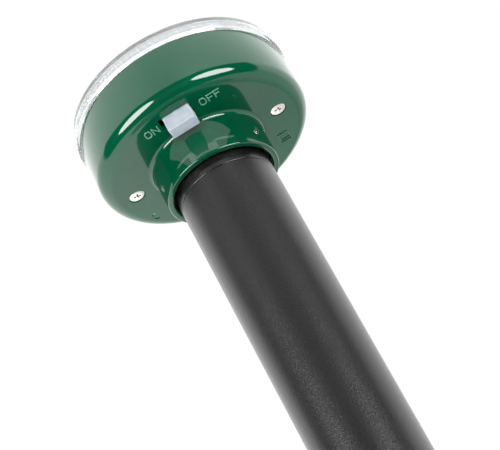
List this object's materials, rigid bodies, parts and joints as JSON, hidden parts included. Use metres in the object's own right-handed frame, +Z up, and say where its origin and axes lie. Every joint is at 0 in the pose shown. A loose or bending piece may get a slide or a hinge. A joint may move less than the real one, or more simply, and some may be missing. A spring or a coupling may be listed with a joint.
{
  "type": "ultrasonic pest repeller",
  "caption": "Stake-mounted pest repeller: round green head with a clear solar window and slide switch, on a black tube that ends in a ground spike.",
  "frame": {"origin": "tip of the ground spike, on the tube's axis", "axes": "+Z up along the tube towards the head; the switch is on the -Y side, ON towards -X and OFF towards +X"},
  "size_m": [0.1144, 0.1144, 0.3437],
  "materials": {
    "green_plastic": "glossy moulded ABS, dark green",
    "clear_plastic": "clear moulded polycarbonate, polished",
    "black_coated_tube": "black powder coat, satin with a fine texture",
    "black_plastic": "moulded black ABS, satin",
    "black_rubber": "black nitrile rubber",
    "white_plastic": "moulded white ABS, satin",
    "milky_plastic": "translucent natural polyethylene",
    "plated_steel": "bright zinc plate",
    "sheet_steel": "nickel-plated sheet",
    "foam_tape": "double-sided foam tape",
    "panel_backing": "white solder mask",
    "silicon_cell": "polycrystalline silicon, dark blue",
    "tinned_copper": "tinned ribbon",
    "board_green": "glass-fibre board with green mask",
    "chip_resin": "black moulding resin",
    "capacitor_sleeve": "dark blue sleeve",
    "ferrite": "bare ferrite",
    "cell_sleeve": "shrink sleeve over nickel-plated steel",
    "paper_cone": "pressed black paper",
    "red_insulation": "PVC insulation",
    "white_insulation": "PVC insulation",
    "blue_insulation": "PVC insulation"
  },
  "bodies": {
    "housing": {"head_shell": "green_plastic", "top_window": "clear_plastic", "window_seal": "black_rubber", "panel_carrier": "white_plastic", "panel_tape": "foam_tape", "solar_board": "panel_backing", "solar_cells": "silicon_cell", "cell_ribbons": "tinned_copper", "head_screws": "plated_steel", "main_board": "board_green", "board_screws": "plated_steel", "driver_chip": "chip_resin", "capacitors": "capacitor_sleeve", "resistors": "chip_resin", "boost_inductor": "ferrite", "lead_sockets": "white_plastic", "switch_body": "sheet_steel", "switch_terminals": "tinned_copper", "switch_screws": "plated_steel", "battery_tray": "black_plastic", "battery_cells": "cell_sleeve", "battery_tabs": "sheet_steel", "battery_strap": "sheet_steel", "strap_screws": "plated_steel", "tube_adapter": "black_plastic", "adapter_seal": "black_rubber", "collar_screws": "plated_steel", "stake_tube": "black_coated_tube", "ground_spike": "black_plastic", "speaker_holder": "black_plastic", "speaker_gasket": "black_rubber", "speaker_basket": "sheet_steel", "speaker_magnet": "ferrite", "panel_leads": "red_insulation", "battery_leads": "red_insulation", "switch_leads": "white_insulation", "speaker_leads": "blue_insulation"},
    "switch": {"switch_lever": "black_plastic", "switch_cap": "milky_plastic"},
    "cone": {"speaker_cone": "paper_cone"}
  },
  "joints": [
    {"name": "switch_slide", "type": "slide", "parent": "housing", "child": "switch", "axis": [-1, 0, 0], "range_m": [0, 0.0021]},
    {"name": "cone_stroke", "type": "slide", "parent": "housing", "child": "cone", "axis": [0, 0, 1], "range_m": [-0.0004, 0.0004], "stiffness_N_per_m": 400}
  ]
}
